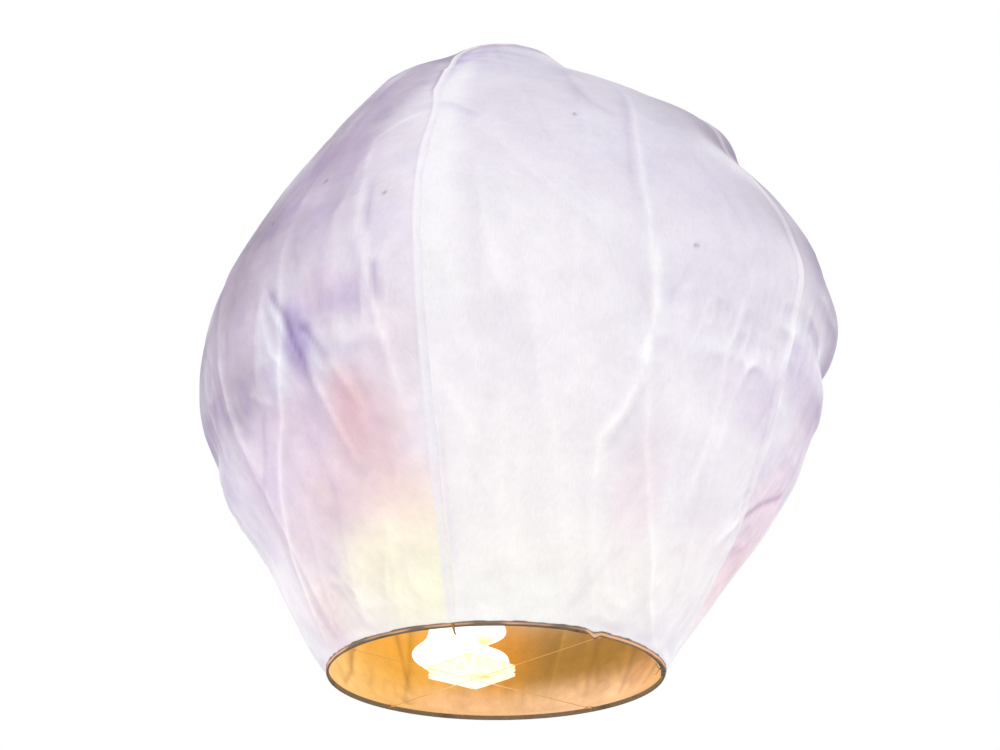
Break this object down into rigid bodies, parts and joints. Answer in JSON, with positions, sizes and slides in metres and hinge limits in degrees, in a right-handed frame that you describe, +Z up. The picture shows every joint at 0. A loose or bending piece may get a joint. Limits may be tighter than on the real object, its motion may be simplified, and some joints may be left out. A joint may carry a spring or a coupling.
{
  "type": "sky lantern",
  "caption": "Paper sky lantern: tissue panels glued into a rounded bag over a bamboo hoop, with cross wires carrying a waxed fuel cell.",
  "frame": {"origin": "centre of the hoop's underside plane, the plane of the lantern's mouth", "axes": "+Z up along the lantern's height, from the mouth to the crown; the front, from where it is usually seen, faces -Y; +X to the right as seen from the front"},
  "size_m": [0.6116, 0.6116, 0.6466],
  "materials": {
    "tissue": "thin translucent tissue, pale lilac white",
    "bamboo": "split bamboo, darkened and matt",
    "thread": "dull dark thread",
    "wire": "thin annealed steel wire, dull",
    "waxed_pad": "waxed absorbent paper"
  },
  "bodies": {
    "frame": {"hoop": "bamboo", "hoop_lashing_1": "thread", "hoop_lashing_2": "thread", "cross_wire_1": "wire", "cross_wire_2": "wire", "crossing_tie": "wire", "fuel_pin": "wire", "paper_panel_1": "tissue", "paper_panel_2": "tissue", "paper_panel_3": "tissue", "paper_panel_4": "tissue"},
    "crown": {"crown_patch": "tissue"},
    "fuel_cell": {"fuel_pad_1": "waxed_pad", "fuel_pad_2": "waxed_pad", "fuel_pad_3": "waxed_pad", "fuel_pad_4": "waxed_pad", "fuel_pad_5": "waxed_pad", "fuel_pad_6": "waxed_pad"}
  },
  "joints": [
    {"name": "envelope_collapse", "type": "slide", "parent": "frame", "child": "crown", "axis": [0, 0, -1], "range_m": [0, 0.55], "deforming": ["paper_panel_1", "paper_panel_2", "paper_panel_3", "paper_panel_4"]},
    {"name": "fuel_cell_lift", "type": "slide", "parent": "frame", "child": "fuel_cell", "axis": [0, 0, 1], "range_m": [0, 0.045]}
  ]
}
